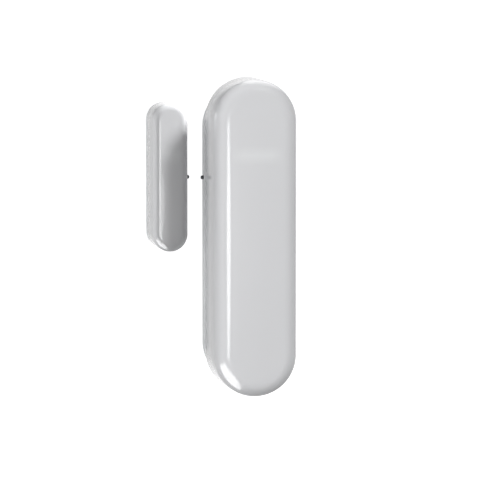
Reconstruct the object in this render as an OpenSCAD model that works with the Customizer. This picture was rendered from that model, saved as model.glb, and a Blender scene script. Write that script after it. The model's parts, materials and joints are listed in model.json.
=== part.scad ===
// Wireless door contact sensor: a long pill-shaped sensor beside a short pill-shaped magnet unit.
// Both lie flat on a wall or a door frame. The wall is the plane y = 0, the fronts face -Y, up is +Z.
// Each piece is drawn lying down, with its depth from the wall along Z, then stood against the wall.

/* [Sensor housing] */
// Width of the sensor
sensor_w = 20.8; // [20.6:0.1:22]
// Length of the front cover from end to end
sensor_len = 78.6; // [78:0.1:82]
// Depth of the sensor from the wall to its flat front
sensor_d = 18; // [18:0.1:20]
// Wall thickness of the front cover
wall_t = 1.3; // [1.2:0.05:1.5]
// Radius of the soft edge around the front
front_r = 3.8; // [3:0.1:4.2]
// Height of the back housing that shows behind the cover
flange_h = 2.9; // [2.7:0.1:3.2]
// How much shorter the back housing is than the cover
flange_short = 3.6; // [3:0.1:3.8]
// Width of the back housing, a little more than the cover
flange_w = 21.2; // [20.8:0.1:21.8]
// Thickness of the back housing's floor
floor_t = 1.6; // [1.4:0.1:1.8]
// Distance between the two wall screws
screw_pitch = 68.8; // [68:0.1:69]
// Hole for a wall screw
screw_hole_d = 3.4; // [3:0.1:3.6]

/* [Magnet unit] */
// Width of the magnet unit
magnet_w = 8.8; // [8.6:0.1:9.4]
// Length of the magnet unit
magnet_len = 36.8; // [36:0.1:40]
// Depth of the magnet unit from the wall to its front
magnet_d = 11.5; // [11:0.1:13]
// Radius of the soft edge around its front
magnet_r = 1.9; // [1.5:0.1:2.2]
// Wall thickness of its cover
magnet_wall_t = 1.1; // [1:0.05:1.2]
// Hole for one of its wall screws
magnet_hole_d = 3; // [2.6:0.1:3.2]
// Distance between the centre lines of the two units
unit_pitch = 20.4; // [19.5:0.1:24]
// Height of the magnet unit's centre above the sensor's centre
magnet_up = 15; // [14:0.1:16]

/* [Battery] */
// Diameter of the half-length AA lithium cell
cell_d = 14.5; // [14.3:0.1:14.6]
// Length of the cell without its raised contact
cell_len = 24.2; // [24:0.1:24.6]

/* [Electronics] */
// Width of the circuit board
board_w = 15.8; // [15.4:0.1:15.9]
// Length of the circuit board
board_len = 30.4; // [30:0.1:30.8]
// Thickness of the circuit board
board_t = 1; // [0.8:0.1:1.2]
// Distance from the wall to the back of the circuit board
board_up = 4.4; // [4.2:0.1:4.8]

/* [Hidden] */
$fn = 64;
eps = 0.05;                 // how far a piece keeps from the one it stands on
slip = 0.12;                // gap between a cover and the rim that it slides over
seam = 0.15;                // shadow line between a cover and what is behind it

// cover and back housing
cavity_w = sensor_w - 2 * wall_t;
cavity_len = sensor_len - 2 * wall_t;
cavity_top = sensor_d - wall_t;
rim_w = cavity_w - 2 * slip;
rim_len = cavity_len - 2 * slip;
rim_t = 0.8;
rim_top = 5.6;
tray_w = rim_w - 2 * rim_t;
tray_len = rim_len - 2 * rim_t;
catch_proud = 0.3;
catch_len = 5;
catch_places = [-20, 20];
catch_low = 4;
catch_h = 0.8;
channel_size = [cavity_w + 2 * catch_proud + 0.1, catch_len + 0.6, catch_low + 1.4 - flange_h];
rib_places = [-34, 1.4, 33];
tape_w = 13.6;
tape_len = 24;
tape_t = 0.8;
tape_places = [-16, 16];

// battery and its holder
holder_w = tray_w - 0.2;
holder_low = -31.3;
holder_high = -0.5;
holder_len = holder_high - holder_low;
holder_top = 11.2;
end_wall_t = 1.2;
bore_d = cell_d + 0.3;
cell_up = floor_t + 0.12 + cell_d / 2;
spring_room = 3.4;
cell_low = holder_low + end_wall_t + spring_room;
cell_high = cell_low + cell_len;
nub_h = 0.8;
sleeve_lip = 0.8;
contact_t = 0.3;
contact_w = 8;
negative_y = holder_low + end_wall_t + contact_t / 2;
positive_y = cell_high + nub_h + eps + contact_t / 2;
strip_x = 6.6;
strip_w = 1;

// circuit board and its screws
board_y = 15.6;
board_top = board_up + board_t;
parts_up = board_top + eps;
screw_places = [[5.9, 27.6], [-5.9, 3.2]];
rest_places = [[-5.9, 27], [5.9, 3.4]];
boss_d = 3.6;
pilot_d = 1.6;
thread_d = 1.5;
head_d = 3.4;
head_h = 1.2;

// reed switch, beside the magnet
reed_x = -6.1;
reed_y = 15;
reed_d = 2;
reed_len = 13;
reed_bore_d = 1.4;
reed_up = board_top + 0.35 + reed_d / 2;
reed_lead_d = 0.5;
reed_reach = 8.4;
blade_w = 0.9;
blade_t = 0.14;
blade_gap = 0.01;
blade_root = 5.3;
blade_pivot = 5;
blade_lap = 0.5;

// other parts on the board
chip = [5, 5, 0.9];
chip_place = [-1.8, 12.2];
shield = [8, 7.6, 2];
shield_place = [-0.3, 20.6];
crystal = [3.2, 1.6, 0.8];
crystal_place = [2.45, 26.2];
can_d = 5;
can_h = 6.4;
can_place = [4.8, 5.6];
led = [1.6, 0.8, 0.7];
led_place = [-0.6, 6.6];
guide_d = 2.2;
header = [5.2, 2.1, 2.4];
header_place = [-1, 3.4];
header_pitch = 1.27;
small_part = [1, 0.5, 0.45];
capacitor_places = [[-3.6, 8.6], [-2.2, 8.6], [1.35, 9.2], [1.3, 16.3], [-4.4, 25.4], [2.4, 28.4]];
resistor_places = [[-3.6, 7.2], [-2.2, 7.2], [1.35, 10.4], [1.35, 11.6], [1.35, 12.8], [-4.4, 26.6]];
antenna_x = 6.1;
antenna_y = 17.4;
antenna_turns = 7;
antenna_pitch = 1;
antenna_r = 1.25;
antenna_wire = 0.5;
antenna_up = board_top + 0.3 + antenna_r + antenna_wire / 2;
tamper = [6, 6, 3.4];
tamper_place = [4.9, 13];
plunger_d = 2;
plunger_top = board_top + 7;
plunger_sunk = 1.6;
plunger_foot = parts_up + tamper[2] - plunger_sunk;
button = [4.2, 4.2, 1.7];
button_place = [-1.4, 27.2];
button_d = 2.2;
button_h = 1.1;
button_sunk = 0.9;

// alignment marks on the two facing sides
mark_d = 1;
mark_proud = 0.7;
mark_deep = 0.5;
sensor_mark_y = 14.3;
sensor_mark_up = 1.5;
magnet_mark_up = 8;

// magnet unit
plate_h = 2;
plate_floor_t = 1.3;
plate_short = 0.4;
magnet_cavity_w = magnet_w - 2 * magnet_wall_t;
magnet_cavity_len = magnet_len - 2 * magnet_wall_t;
magnet_rim_w = magnet_cavity_w - 2 * slip;
magnet_rim_len = magnet_cavity_len - 2 * slip;
magnet_rim_t = 0.7;
magnet_rim_top = 4.4;
magnet_pitch = magnet_len - magnet_w;
bar = [4.6, 18, 6];
magnet_tape = [5.4, 20, 0.6];

// Stands a piece that is drawn lying down against the wall.
module stand() rotate([90, 0, 0]) children();

// The same, in the magnet unit's place.
module stand_beside() stand() translate([-unit_pitch, magnet_up, 0]) children();

// A box centred on a place and standing at a height.
module block(place, up, size) translate([place[0] - size[0] / 2, place[1] - size[1] / 2, up]) cube(size);

// A rod centred on a place and standing at a height.
module rod(place, up, d, h) translate([place[0], place[1], up]) cylinder(d = d, h = h);

// A flat outline with two round ends.
module pill(w, len) {
    square([w, len - w], center = true);
    for (side = [-1, 1]) translate([0, side * (len - w) / 2]) circle(d = w);
}

// A straight-sided block on the pill outline.
module pill_block(w, len, h) linear_extrude(h) pill(w, len);

// Right half of the cross-section of a block with a soft front edge.
module half_section(w, h, r) {
    square([w / 2, h - r]);
    square([w / 2 - r, h]);
    translate([w / 2 - r, h - r]) intersection() {
        circle(r);
        square(r);
    }
}

// A pill block whose front edge is rounded all the way round.
module soft_block(w, len, h, r) {
    straight = len - w;
    rotate([90, 0, 0]) linear_extrude(straight, center = true) {
        half_section(w, h, r);
        mirror([1, 0]) half_section(w, h, r);
    }
    for (turn = [0, 180])
        rotate(turn) translate([0, straight / 2, 0]) rotate_extrude(angle = 180) half_section(w, h, r);
}

// A round wire along a list of points, as one closed tube.
module wire(path, d, sides = 8) {
    last = len(path) - 1;
    function ahead(i) = path[min(i + 1, last)] - path[max(i - 1, 0)];
    function unit(v) = v / norm(v);
    function across(i) = unit(cross(ahead(i), [0, 0, 1]));
    function around(i) = unit(cross(ahead(i), across(i)));
    function ring(i) = [for (k = [0 : sides - 1])
        path[i] + d / 2 * (across(i) * cos(360 * k / sides) + around(i) * sin(360 * k / sides))];
    walls = [for (i = [0 : last - 1], k = [0 : sides - 1]) let (next = (k + 1) % sides)
        [i * sides + k, (i + 1) * sides + k, (i + 1) * sides + next, i * sides + next]];
    start = [for (k = [0 : sides - 1]) k];
    end = [for (k = [sides - 1 : -1 : 0]) last * sides + k];
    polyhedron([for (i = [0 : last]) each ring(i)], concat([start, end], walls), convexity = 8);
}

// ---- sensor housing ----

module sensor_cover() color([0.93, 0.94, 0.95]) stand() {
    difference() {
        translate([0, 0, flange_h + seam])
            soft_block(sensor_w, sensor_len, sensor_d - flange_h - seam, front_r);
        translate([0, 0, flange_h])
            soft_block(cavity_w, cavity_len, cavity_top - flange_h, front_r - wall_t);
        // channels that let the catches of the back housing pass
        for (y = catch_places) block([0, y], flange_h, channel_size);
        // thin spot that lets the status light through
        rod(led_place, cavity_top - eps, guide_d + 0.4, wall_t / 2 + eps);
    }
    // post that holds the tamper plunger down
    rod(tamper_place, plunger_top + eps, plunger_d + 0.6, cavity_top + 0.3 - plunger_top - eps);
    // ribs that stiffen the front
    for (y = rib_places) block([0, y], cavity_top - 0.9, [10, 0.8, 1.2]);
    // collar that holds the light guide
    difference() {
        rod(led_place, cavity_top - 4, guide_d + 2, 4.3);
        rod(led_place, cavity_top - 5, guide_d + 2 * eps, 5);
        rod(led_place, cavity_top - eps, guide_d + 0.4, wall_t / 2 + eps);
    }
}

module back_housing() color([0.9, 0.91, 0.92]) stand() difference() {
    union() {
        difference() {
            union() {
                pill_block(flange_w, sensor_len - flange_short, flange_h);
                pill_block(rim_w, rim_len, rim_top);
                for (y = catch_places)
                    block([0, y], catch_low, [rim_w + 2 * catch_proud, catch_len, catch_h]);
            }
            translate([0, 0, floor_t]) pill_block(tray_w, tray_len, rim_top);
        }
        for (p = screw_places) rod(p, floor_t - eps, boss_d, board_up - floor_t + eps);
        for (p = rest_places) rod(p, floor_t - eps, 2.2, board_up - floor_t + eps);
    }
    for (side = [-1, 1]) rod([0, side * screw_pitch / 2], -1, screw_hole_d, floor_t + 2);
    for (p = screw_places) rod(p, floor_t - 0.5, pilot_d, board_up);
    // shallow seats for the foam tape
    for (y = tape_places) block([0, y], -1, [tape_w + 0.2, tape_len + 0.2, tape_t + 1]);
    // blind hole for the mark
    translate([-flange_w / 2 - 1, sensor_mark_y, sensor_mark_up]) rotate([0, 90, 0])
        cylinder(d = mark_d + 0.04, h = mark_deep + 1 + eps);
}

module sensor_tape() color([0.35, 0.36, 0.38]) stand()
    for (y = tape_places) block([0, y], 0, [tape_w, tape_len, tape_t - eps]);

module sensor_mark() color([0.15, 0.16, 0.18]) stand()
    translate([-flange_w / 2 - mark_proud, sensor_mark_y, sensor_mark_up]) rotate([0, 90, 0])
        cylinder(d = mark_d, h = mark_proud + mark_deep);

// ---- battery ----

// Lays a cylinder along the cell's axis, starting at a place along the sensor.
module along_cell(y) translate([0, y, cell_up]) rotate([-90, 0, 0]) children();

module battery_holder() color([0.16, 0.16, 0.17]) stand() difference() {
    intersection() {
        translate([0, 0, floor_t + eps])
            pill_block(holder_w, tray_len - 0.2, holder_top - floor_t - eps);
        block([0, holder_low + holder_len / 2], 0, [holder_w + 1, holder_len, holder_top + 1]);
    }
    along_cell(holder_low + end_wall_t) cylinder(d = bore_d, h = holder_len - 2 * end_wall_t);
    // scoop for the fingertips that lift the cell out
    translate([0, (cell_low + cell_high) / 2, holder_top + 4]) rotate([0, 90, 0])
        cylinder(r = 8, h = holder_w + 2, center = true);
    // slots that the contacts drop into
    block([0, negative_y], floor_t + 0.9, [contact_w + 0.4, contact_t + 0.2, holder_top]);
    block([0, positive_y], floor_t + 0.9, [contact_w + 0.4, contact_t + 0.2, holder_top]);
    // groove for the strip under the holder
    translate([strip_x - strip_w / 2 - 0.1, negative_y - 0.3, 0])
        cube([strip_w + 0.2, holder_len, floor_t + 0.5]);
    translate([0, negative_y - 0.25, 0]) cube([strip_x + strip_w / 2 + 0.1, 0.5, floor_t + 2.2]);
}

module battery() color([0.86, 0.87, 0.88]) stand() {
    along_cell(cell_low) cylinder(d = cell_d, h = cell_len - sleeve_lip);
    along_cell(cell_high - sleeve_lip - eps) cylinder(d = cell_d - 2, h = sleeve_lip + eps);
    along_cell(cell_high - eps) cylinder(d = 5, h = nub_h + eps);
}

module battery_ring() color([0.75, 0.12, 0.1]) stand()
along_cell(cell_high - sleeve_lip + eps / 2) difference() {
    cylinder(d = cell_d - 0.1, h = sleeve_lip - eps);
    translate([0, 0, -1]) cylinder(d = cell_d - 1.9, h = sleeve_lip + 2);
}

module positive_contact() color("silver") stand() {
    foot_y = board_y - board_len / 2 + 0.4;
    block([0, positive_y], floor_t + 1.2, [contact_w, contact_t, 8]);
    block([0, positive_y], floor_t + 8, [2.6, contact_t, holder_top - floor_t - 8 + 0.1]);
    translate([-1.3, positive_y - contact_t / 2, holder_top + 0.1])
        cube([2.6, foot_y - positive_y + contact_t, contact_t]);
    block([0, foot_y], parts_up, [2.6, contact_t, holder_top + 0.1 - parts_up + contact_t / 2]);
    translate([-1.3, foot_y - contact_t / 2, parts_up]) cube([2.6, 1.1, contact_t]);
}

module negative_contact() color("silver") stand() {
    riser_y = board_y - board_len / 2 + 0.3;
    block([0, negative_y], floor_t + 1.2, [contact_w, contact_t, 8]);
    translate([0, negative_y - contact_t / 2, floor_t + 0.1])
        cube([strip_x + strip_w / 2, contact_t, 1.8]);
    translate([strip_x - strip_w / 2, negative_y - contact_t / 2, floor_t + 0.1])
        cube([strip_w, riser_y - negative_y + contact_t, contact_t]);
    block([strip_x, riser_y], floor_t + 0.1, [strip_w, contact_t, board_up - floor_t - 0.1 - eps]);
}

module negative_spring() color("silver") stand() along_cell(negative_y + contact_t / 2 + 0.3)
    wire([for (i = [0 : 48]) let (turn = i / 16)
        [(4.2 - 0.9 * turn) * cos(360 * turn), (4.2 - 0.9 * turn) * sin(360 * turn), 0.82 * turn]], 0.5);

// ---- circuit board and what is soldered to it ----

module circuit_board() color([0.05, 0.32, 0.18]) stand() difference() {
    translate([0, 0, board_up]) intersection() {
        block([0, board_y], 0, [board_w, board_len, board_t]);
        pill_block(board_w, tray_len - 0.4, board_t);
    }
    for (p = screw_places) rod(p, board_up - 1, 2.2, board_t + 2);
    for (side = [-1, 1])
        rod([reed_x, reed_y + side * reed_reach], board_up - 1, reed_lead_d + 0.2, board_t + 2);
}

module board_screws() color([0.72, 0.73, 0.75]) stand() for (p = screw_places) {
    rod(p, floor_t, thread_d, parts_up - floor_t + eps);
    difference() {
        rod(p, parts_up, head_d, head_h);
        for (size = [[2, 0.5, 1], [0.5, 2, 1]]) block(p, parts_up + head_h - 0.7, size);
    }
}

// Lays something along the reed switch, with the middle of the switch at its origin.
module along_reed() translate([reed_x, reed_y, reed_up]) children();

module reed_glass() color([0.75, 0.85, 0.85, 0.5]) stand() along_reed() rotate([90, 0, 0])
    translate([0, 0, -reed_len / 2]) difference() {
        union() {
            translate([0, 0, reed_d / 2]) cylinder(d = reed_d, h = reed_len - reed_d);
            for (z = [reed_d / 2, reed_len - reed_d / 2]) translate([0, 0, z]) sphere(d = reed_d);
        }
        translate([0, 0, 1.2]) cylinder(d = reed_bore_d, h = reed_len - 2.4);
        translate([0, 0, -1]) cylinder(d = reed_lead_d + 0.02, h = reed_len + 2);
    }

// The round part of a reed lead: out through the glass, then down through the board.
module reed_tail(side) {
    translate([0, side * (reed_len / 2 - 1.3), 0]) rotate([-90 * side, 0, 0])
        cylinder(d = reed_lead_d, h = reed_reach + 1.3 - reed_len / 2);
    translate([0, side * reed_reach, board_up - 0.6 - reed_up])
        cylinder(d = reed_lead_d, h = reed_up - board_up + 0.6);
    translate([0, side * reed_reach, 0]) sphere(d = reed_lead_d);
}

module reed_fixed_lead() color([0.7, 0.68, 0.62]) stand() along_reed() {
    reed_tail(-1);
    translate([-blade_w / 2, -blade_root, -blade_t - blade_gap / 2])
        cube([blade_w, blade_root + blade_lap, blade_t]);
}

// Its round root is the line that it turns about.
module reed_moving_blade() color([0.7, 0.68, 0.62]) stand() along_reed() {
    translate([-blade_w / 2, -blade_lap, blade_gap / 2])
        cube([blade_w, blade_pivot + blade_lap, blade_t]);
    translate([-blade_w / 2, blade_pivot, (blade_gap + blade_t) / 2]) rotate([0, 90, 0])
        cylinder(d = blade_t, h = blade_w);
}

module reed_far_lead() color([0.7, 0.68, 0.62]) stand() along_reed() reed_tail(1);

module microcontroller() color([0.12, 0.12, 0.13]) stand() block(chip_place, parts_up, chip);

module radio_shield() color([0.8, 0.8, 0.82]) stand() difference() {
    block(shield_place, parts_up, shield);
    block(shield_place, parts_up - 1, [shield[0] - 0.4, shield[1] - 0.4, shield[2] + 0.8]);
    // vent holes
    for (x = [-2.4, 0, 2.4], y = [-2, 2])
        rod(shield_place + [x, y], parts_up + 1, 0.7, shield[2]);
}

module antenna_coil() color([0.8, 0.5, 0.3]) stand() {
    translate([antenna_x, antenna_y, antenna_up]) rotate([-90, 0, 0])
        wire([for (i = [0 : 12 * antenna_turns]) let (turn = i / 12 + 0.25)
            [antenna_r * cos(360 * turn), antenna_r * sin(360 * turn), antenna_pitch * i / 12]],
            antenna_wire);
    rod([antenna_x, antenna_y], parts_up, antenna_wire, antenna_up - antenna_r - parts_up);
}

module crystal_can() color([0.78, 0.78, 0.8]) stand() block(crystal_place, parts_up, crystal);

module buffer_capacitor() color([0.2, 0.22, 0.3]) stand() {
    block(can_place, parts_up, [can_d + 0.2, can_d + 0.2, 0.8]);
    rod(can_place, parts_up + 0.7, can_d, can_h - 0.7);
}

module chip_capacitors() color([0.62, 0.5, 0.36]) stand()
    for (p = capacitor_places) block(p, parts_up, small_part);

module chip_resistors() color([0.13, 0.13, 0.14]) stand()
    for (p = resistor_places) block(p, parts_up, small_part);

module program_header() color([0.15, 0.15, 0.15]) stand() difference() {
    block(header_place, parts_up, header);
    for (i = [-1.5 : 1.5]) rod(header_place + [i * header_pitch, 0], 0, 0.6, board_top + 10);
}

module header_pins() color([0.85, 0.68, 0.3]) stand()
    for (i = [-1.5 : 1.5]) rod(header_place + [i * header_pitch, 0], parts_up, 0.5, header[2] + 1.6);

module status_led() color([0.9, 0.92, 0.85]) stand() block(led_place, parts_up, led);

module light_guide() color([0.85, 0.9, 0.95, 0.5]) stand()
    rod(led_place, parts_up + led[2] + 0.3, guide_d, cavity_top - parts_up - led[2] - 0.3 - eps);

module tamper_case() color([0.14, 0.14, 0.15]) stand() difference() {
    block(tamper_place, parts_up, tamper);
    rod(tamper_place, plunger_foot - eps, plunger_d + 0.1, tamper[2]);
}

module tamper_plunger() color([0.85, 0.85, 0.82]) stand()
    rod(tamper_place, plunger_foot, plunger_d, plunger_top - plunger_foot);

module pairing_switch() color([0.75, 0.76, 0.78]) stand() difference() {
    block(button_place, parts_up, button);
    rod(button_place, parts_up + button[2] - button_sunk - 0.4, button_d + 0.1, button[2]);
}

module pairing_button() color([0.12, 0.12, 0.13]) stand()
    rod(button_place, parts_up + button[2] - button_sunk, button_d, button_h + button_sunk);

// ---- magnet unit ----

module magnet_cover() color([0.93, 0.94, 0.95]) stand_beside() difference() {
    translate([0, 0, plate_h + seam])
        soft_block(magnet_w, magnet_len, magnet_d - plate_h - seam, magnet_r);
    translate([0, 0, plate_h])
        soft_block(magnet_cavity_w, magnet_cavity_len, magnet_d - magnet_wall_t - plate_h,
            magnet_r - magnet_wall_t);
    // blind hole for the mark
    translate([magnet_w / 2 - mark_deep - eps, 0, magnet_mark_up]) rotate([0, 90, 0])
        cylinder(d = mark_d + 0.04, h = mark_deep + 1);
}

module magnet_base() color([0.9, 0.91, 0.92]) stand_beside() difference() {
    union() {
        pill_block(magnet_w, magnet_len - plate_short, plate_h);
        pill_block(magnet_rim_w, magnet_rim_len, magnet_rim_top);
    }
    translate([0, 0, plate_floor_t])
        pill_block(magnet_rim_w - 2 * magnet_rim_t, magnet_rim_len - 2 * magnet_rim_t, magnet_rim_top);
    for (side = [-1, 1]) rod([0, side * magnet_pitch / 2], -1, magnet_hole_d, plate_floor_t + 2);
    // shallow seat for the foam tape
    block([0, 0], -1, magnet_tape + [0.2, 0.2, 1]);
}

module bar_magnet() color([0.55, 0.56, 0.58]) stand_beside() block([0, 0], plate_floor_t + eps, bar);

module magnet_unit_tape() color([0.35, 0.36, 0.38]) stand_beside()
    block([0, 0], 0, magnet_tape - [0, 0, eps]);

module magnet_mark() color([0.15, 0.16, 0.18]) stand_beside()
    translate([magnet_w / 2 - mark_deep, 0, magnet_mark_up]) rotate([0, 90, 0])
        cylinder(d = mark_d, h = mark_proud + mark_deep);

sensor_cover();
back_housing();
sensor_tape();
circuit_board();
board_screws();
battery_holder();
battery();
battery_ring();
positive_contact();
negative_contact();
negative_spring();
reed_glass();
reed_fixed_lead();
reed_moving_blade();
reed_far_lead();
microcontroller();
radio_shield();
antenna_coil();
crystal_can();
buffer_capacitor();
chip_capacitors();
chip_resistors();
program_header();
header_pins();
status_led();
light_guide();
tamper_case();
tamper_plunger();
pairing_switch();
pairing_button();
sensor_mark();
magnet_cover();
magnet_base();
bar_magnet();
magnet_unit_tape();
magnet_mark();
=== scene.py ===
import json
import math
import bpy
import bmesh
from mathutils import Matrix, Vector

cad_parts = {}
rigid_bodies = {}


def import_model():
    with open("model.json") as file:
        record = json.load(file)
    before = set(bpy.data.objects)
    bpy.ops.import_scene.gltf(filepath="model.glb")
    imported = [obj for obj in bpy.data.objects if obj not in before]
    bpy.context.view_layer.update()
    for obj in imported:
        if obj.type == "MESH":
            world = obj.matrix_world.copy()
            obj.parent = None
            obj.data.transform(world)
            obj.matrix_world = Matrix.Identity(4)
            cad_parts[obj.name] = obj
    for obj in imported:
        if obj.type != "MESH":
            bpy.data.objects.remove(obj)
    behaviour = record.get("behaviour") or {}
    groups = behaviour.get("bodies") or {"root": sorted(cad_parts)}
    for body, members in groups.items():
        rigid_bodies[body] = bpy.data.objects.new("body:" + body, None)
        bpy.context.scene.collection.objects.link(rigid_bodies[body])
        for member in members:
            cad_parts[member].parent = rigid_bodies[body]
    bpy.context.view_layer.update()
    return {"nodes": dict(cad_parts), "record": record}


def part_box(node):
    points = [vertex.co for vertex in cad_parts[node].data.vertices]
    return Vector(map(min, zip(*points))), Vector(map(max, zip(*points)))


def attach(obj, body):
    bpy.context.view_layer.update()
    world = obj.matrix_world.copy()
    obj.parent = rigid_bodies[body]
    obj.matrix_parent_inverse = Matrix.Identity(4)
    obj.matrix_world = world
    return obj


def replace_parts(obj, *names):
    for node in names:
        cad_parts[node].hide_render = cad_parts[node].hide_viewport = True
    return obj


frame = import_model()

from types import SimpleNamespace
from mathutils import Matrix, Vector

mm = 0.001
weldGap = 0.0005         # in millimetres; points closer than this become one
scene = bpy.context.scene
slotOf = {s["node"]: s["material_slot"] for s in frame["record"]["subparts"]}
bodyOf = {n: b for b, names in frame["record"]["behaviour"]["bodies"].items() for n in names}


cameraView = {
    "azimuth": -10.9,       # degrees, to the left of the front
    "elevation": 5.3,
    "distance": 1.0,        # a long lens keeps the sides parallel
    "frameWidth": 0.125,
    "aimRight": 0.0015,
    "aimUp": -0.00415,
}


def makeCamera(cam):
    a, e = math.radians(cam["azimuth"]), math.radians(cam["elevation"])
    back = Vector((math.sin(a) * math.cos(e), -math.cos(a) * math.cos(e), math.sin(e)))
    right = Vector((math.cos(a), math.sin(a), 0))
    data = bpy.data.cameras.new("camera")
    data.sensor_width = 36
    data.lens = data.sensor_width * cam["distance"] / cam["frameWidth"]
    data.clip_start, data.clip_end = 0.05, 50
    obj = bpy.data.objects.new("camera", data)
    scene.collection.objects.link(obj)
    obj.location = right * cam["aimRight"] + back.cross(right) * cam["aimUp"] + back * cam["distance"]
    obj.rotation_euler = back.to_track_quat("Z", "Y").to_euler()
    scene.camera = obj


makeCamera(cameraView)
print("camera placed")


# pieces are drawn in millimetres: x is right, y is up along the sensor and z is the depth from the wall
standing = Matrix(((mm, 0, 0, 0), (0, 0, -mm, 0), (0, mm, 0, 0), (0, 0, 0, 1)))


def nodeBox(node):
    # sides, size and middle of a node, in the same millimetres
    low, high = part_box(node)
    box = SimpleNamespace(left=low.x / mm, right=high.x / mm, low=low.z / mm, high=high.z / mm,
                          back=-high.y / mm, front=-low.y / mm)
    box.width, box.length, box.depth = box.right - box.left, box.high - box.low, box.front - box.back
    box.x, box.y, box.z = (box.left + box.right) / 2, (box.low + box.high) / 2, (box.back + box.front) / 2
    return box


cover, unitCover, board = nodeBox("sensor_cover"), nodeBox("magnet_cover"), nodeBox("circuit_board")


def addNode(tree, kind, inputs=(), **settings):
    node = tree.nodes.new(kind)
    for key, value in settings.items():
        setattr(node, key, value)
    for key, value in dict(inputs).items():
        if isinstance(value, bpy.types.NodeSocket):
            tree.links.new(value, node.inputs[key])
        else:
            node.inputs[key].default_value = value
    return node


def mathNode(tree, operation, *values):
    return addNode(tree, "ShaderNodeMath", dict(enumerate(values)), operation=operation).outputs[0]


def noiseAt(tree, place, scale, detail=3.0, stretch=None):
    if stretch:
        place = addNode(tree, "ShaderNodeMapping", {"Vector": place, "Scale": stretch}).outputs[0]
    return addNode(tree, "ShaderNodeTexNoise", {"Vector": place, "Scale": scale, "Detail": detail}).outputs[0]


def remap(tree, value, low, high, toLow, toHigh):
    return addNode(tree, "ShaderNodeMapRange", {"Value": value, "From Min": low, "From Max": high,
                                                "To Min": toLow, "To Max": toHigh}).outputs[0]


def mixColor(tree, factor, first, second):
    mix = addNode(tree, "ShaderNodeMix", data_type="RGBA")
    for socket, value in ((mix.inputs[0], factor), (mix.inputs[6], first), (mix.inputs[7], second)):
        if isinstance(value, bpy.types.NodeSocket):
            tree.links.new(value, socket)
        else:
            socket.default_value = value
    return mix.outputs[2]


def tint(color, k):
    return (min(1, color[0] * k), min(1, color[1] * k), min(1, color[2] * k), 1)


plainLook = {
    "color": (0.5, 0.5, 0.5),
    "patchScale": 120,          # soft patches of a slightly different shade
    "patchShade": 0.95,
    "patchRange": (0.35, 0.65),
    "roughness": (0.3, 0.45),
    "roughScale": 900,
    "roughRange": (0.3, 0.7),
    "grainScale": 4000,         # fine surface grain
    "grainHeight": 0.004 * mm,
    "stretch": None,            # draws the grain out, as on drawn or rolled metal
    "edge": 0.25,               # how strongly the worn edges show
    "edgeShade": 1.25,
    "edgeRange": (0.52, 0.6),
    "shader": {},
}


def finishOf(name, changes, extra=None):
    look = {**plainLook, **changes}
    mat = bpy.data.materials.new(name)
    mat.use_nodes = True
    tree = mat.node_tree
    tree.nodes.clear()
    out = tree.nodes.new("ShaderNodeOutputMaterial")
    shader = tree.nodes.new("ShaderNodeBsdfPrincipled")
    tree.links.new(shader.outputs[0], out.inputs[0])
    for key, value in look["shader"].items():
        shader.inputs[key].default_value = value
    place = tree.nodes.new("ShaderNodeTexCoord").outputs["Object"]
    base = (*look["color"], 1)
    patches = remap(tree, noiseAt(tree, place, look["patchScale"]), *look["patchRange"], 0, 1)
    color = mixColor(tree, patches, base, tint(base, look["patchShade"]))
    pointy = tree.nodes.new("ShaderNodeNewGeometry").outputs["Pointiness"]
    worn = remap(tree, pointy, *look["edgeRange"], 0, look["edge"])
    color = mixColor(tree, worn, color, tint(base, look["edgeShade"]))
    if extra:
        color = extra(tree, place, color)
    tree.links.new(color, shader.inputs["Base Color"])
    smudges = noiseAt(tree, place, look["roughScale"], 5, look["stretch"])
    roughness = remap(tree, smudges, *look["roughRange"], *look["roughness"])
    tree.links.new(roughness, shader.inputs["Roughness"])
    grain = noiseAt(tree, place, look["grainScale"], 2, look["stretch"])
    bump = addNode(tree, "ShaderNodeBump", {"Height": grain, "Strength": 1, "Distance": look["grainHeight"]})
    tree.links.new(bump.outputs[0], shader.inputs["Normal"])
    return mat


# where the painted highlight band lies across the shell fronts, how strong it is and its colour
paintedSheenPlace = {
    "middle": 21.1 * mm, "reach": 2.4 * mm, "strength": 0.6, "color": (0.6, 0.61, 0.615, 1),
    "wobble": 0.8 * mm, "wobbleScale": 250,
    "sensorFade": (7 * mm, 3.5 * mm), "unitFade": (3.2 * mm, 1.8 * mm),     # measured from each unit's middle
}


def paintedSheenBand(tree, place, color):
    # painted highlight: a faint paler band across the fronts of both units, standing in for a lamp's sheen
    band = paintedSheenPlace
    across, _, up = addNode(tree, "ShaderNodeSeparateXYZ", {0: place}).outputs
    wobble = noiseAt(tree, place, band["wobbleScale"], 2)
    shifted = mathNode(tree, "MULTIPLY_ADD", wobble, band["wobble"], up)
    away = mathNode(tree, "ABSOLUTE", mathNode(tree, "SUBTRACT", shifted, band["middle"]))
    level = remap(tree, away, band["reach"], 0, 0, band["strength"])
    side = mathNode(tree, "ABSOLUTE", across)
    beside = mathNode(tree, "ABSOLUTE", mathNode(tree, "SUBTRACT", across, unitCover.x * mm))
    part = mathNode(tree, "MAXIMUM", remap(tree, side, *band["sensorFade"], 0, 1),
                    remap(tree, beside, *band["unitFade"], 0, 1))
    return mixColor(tree, mathNode(tree, "MULTIPLY", level, part), color, band["color"])


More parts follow.
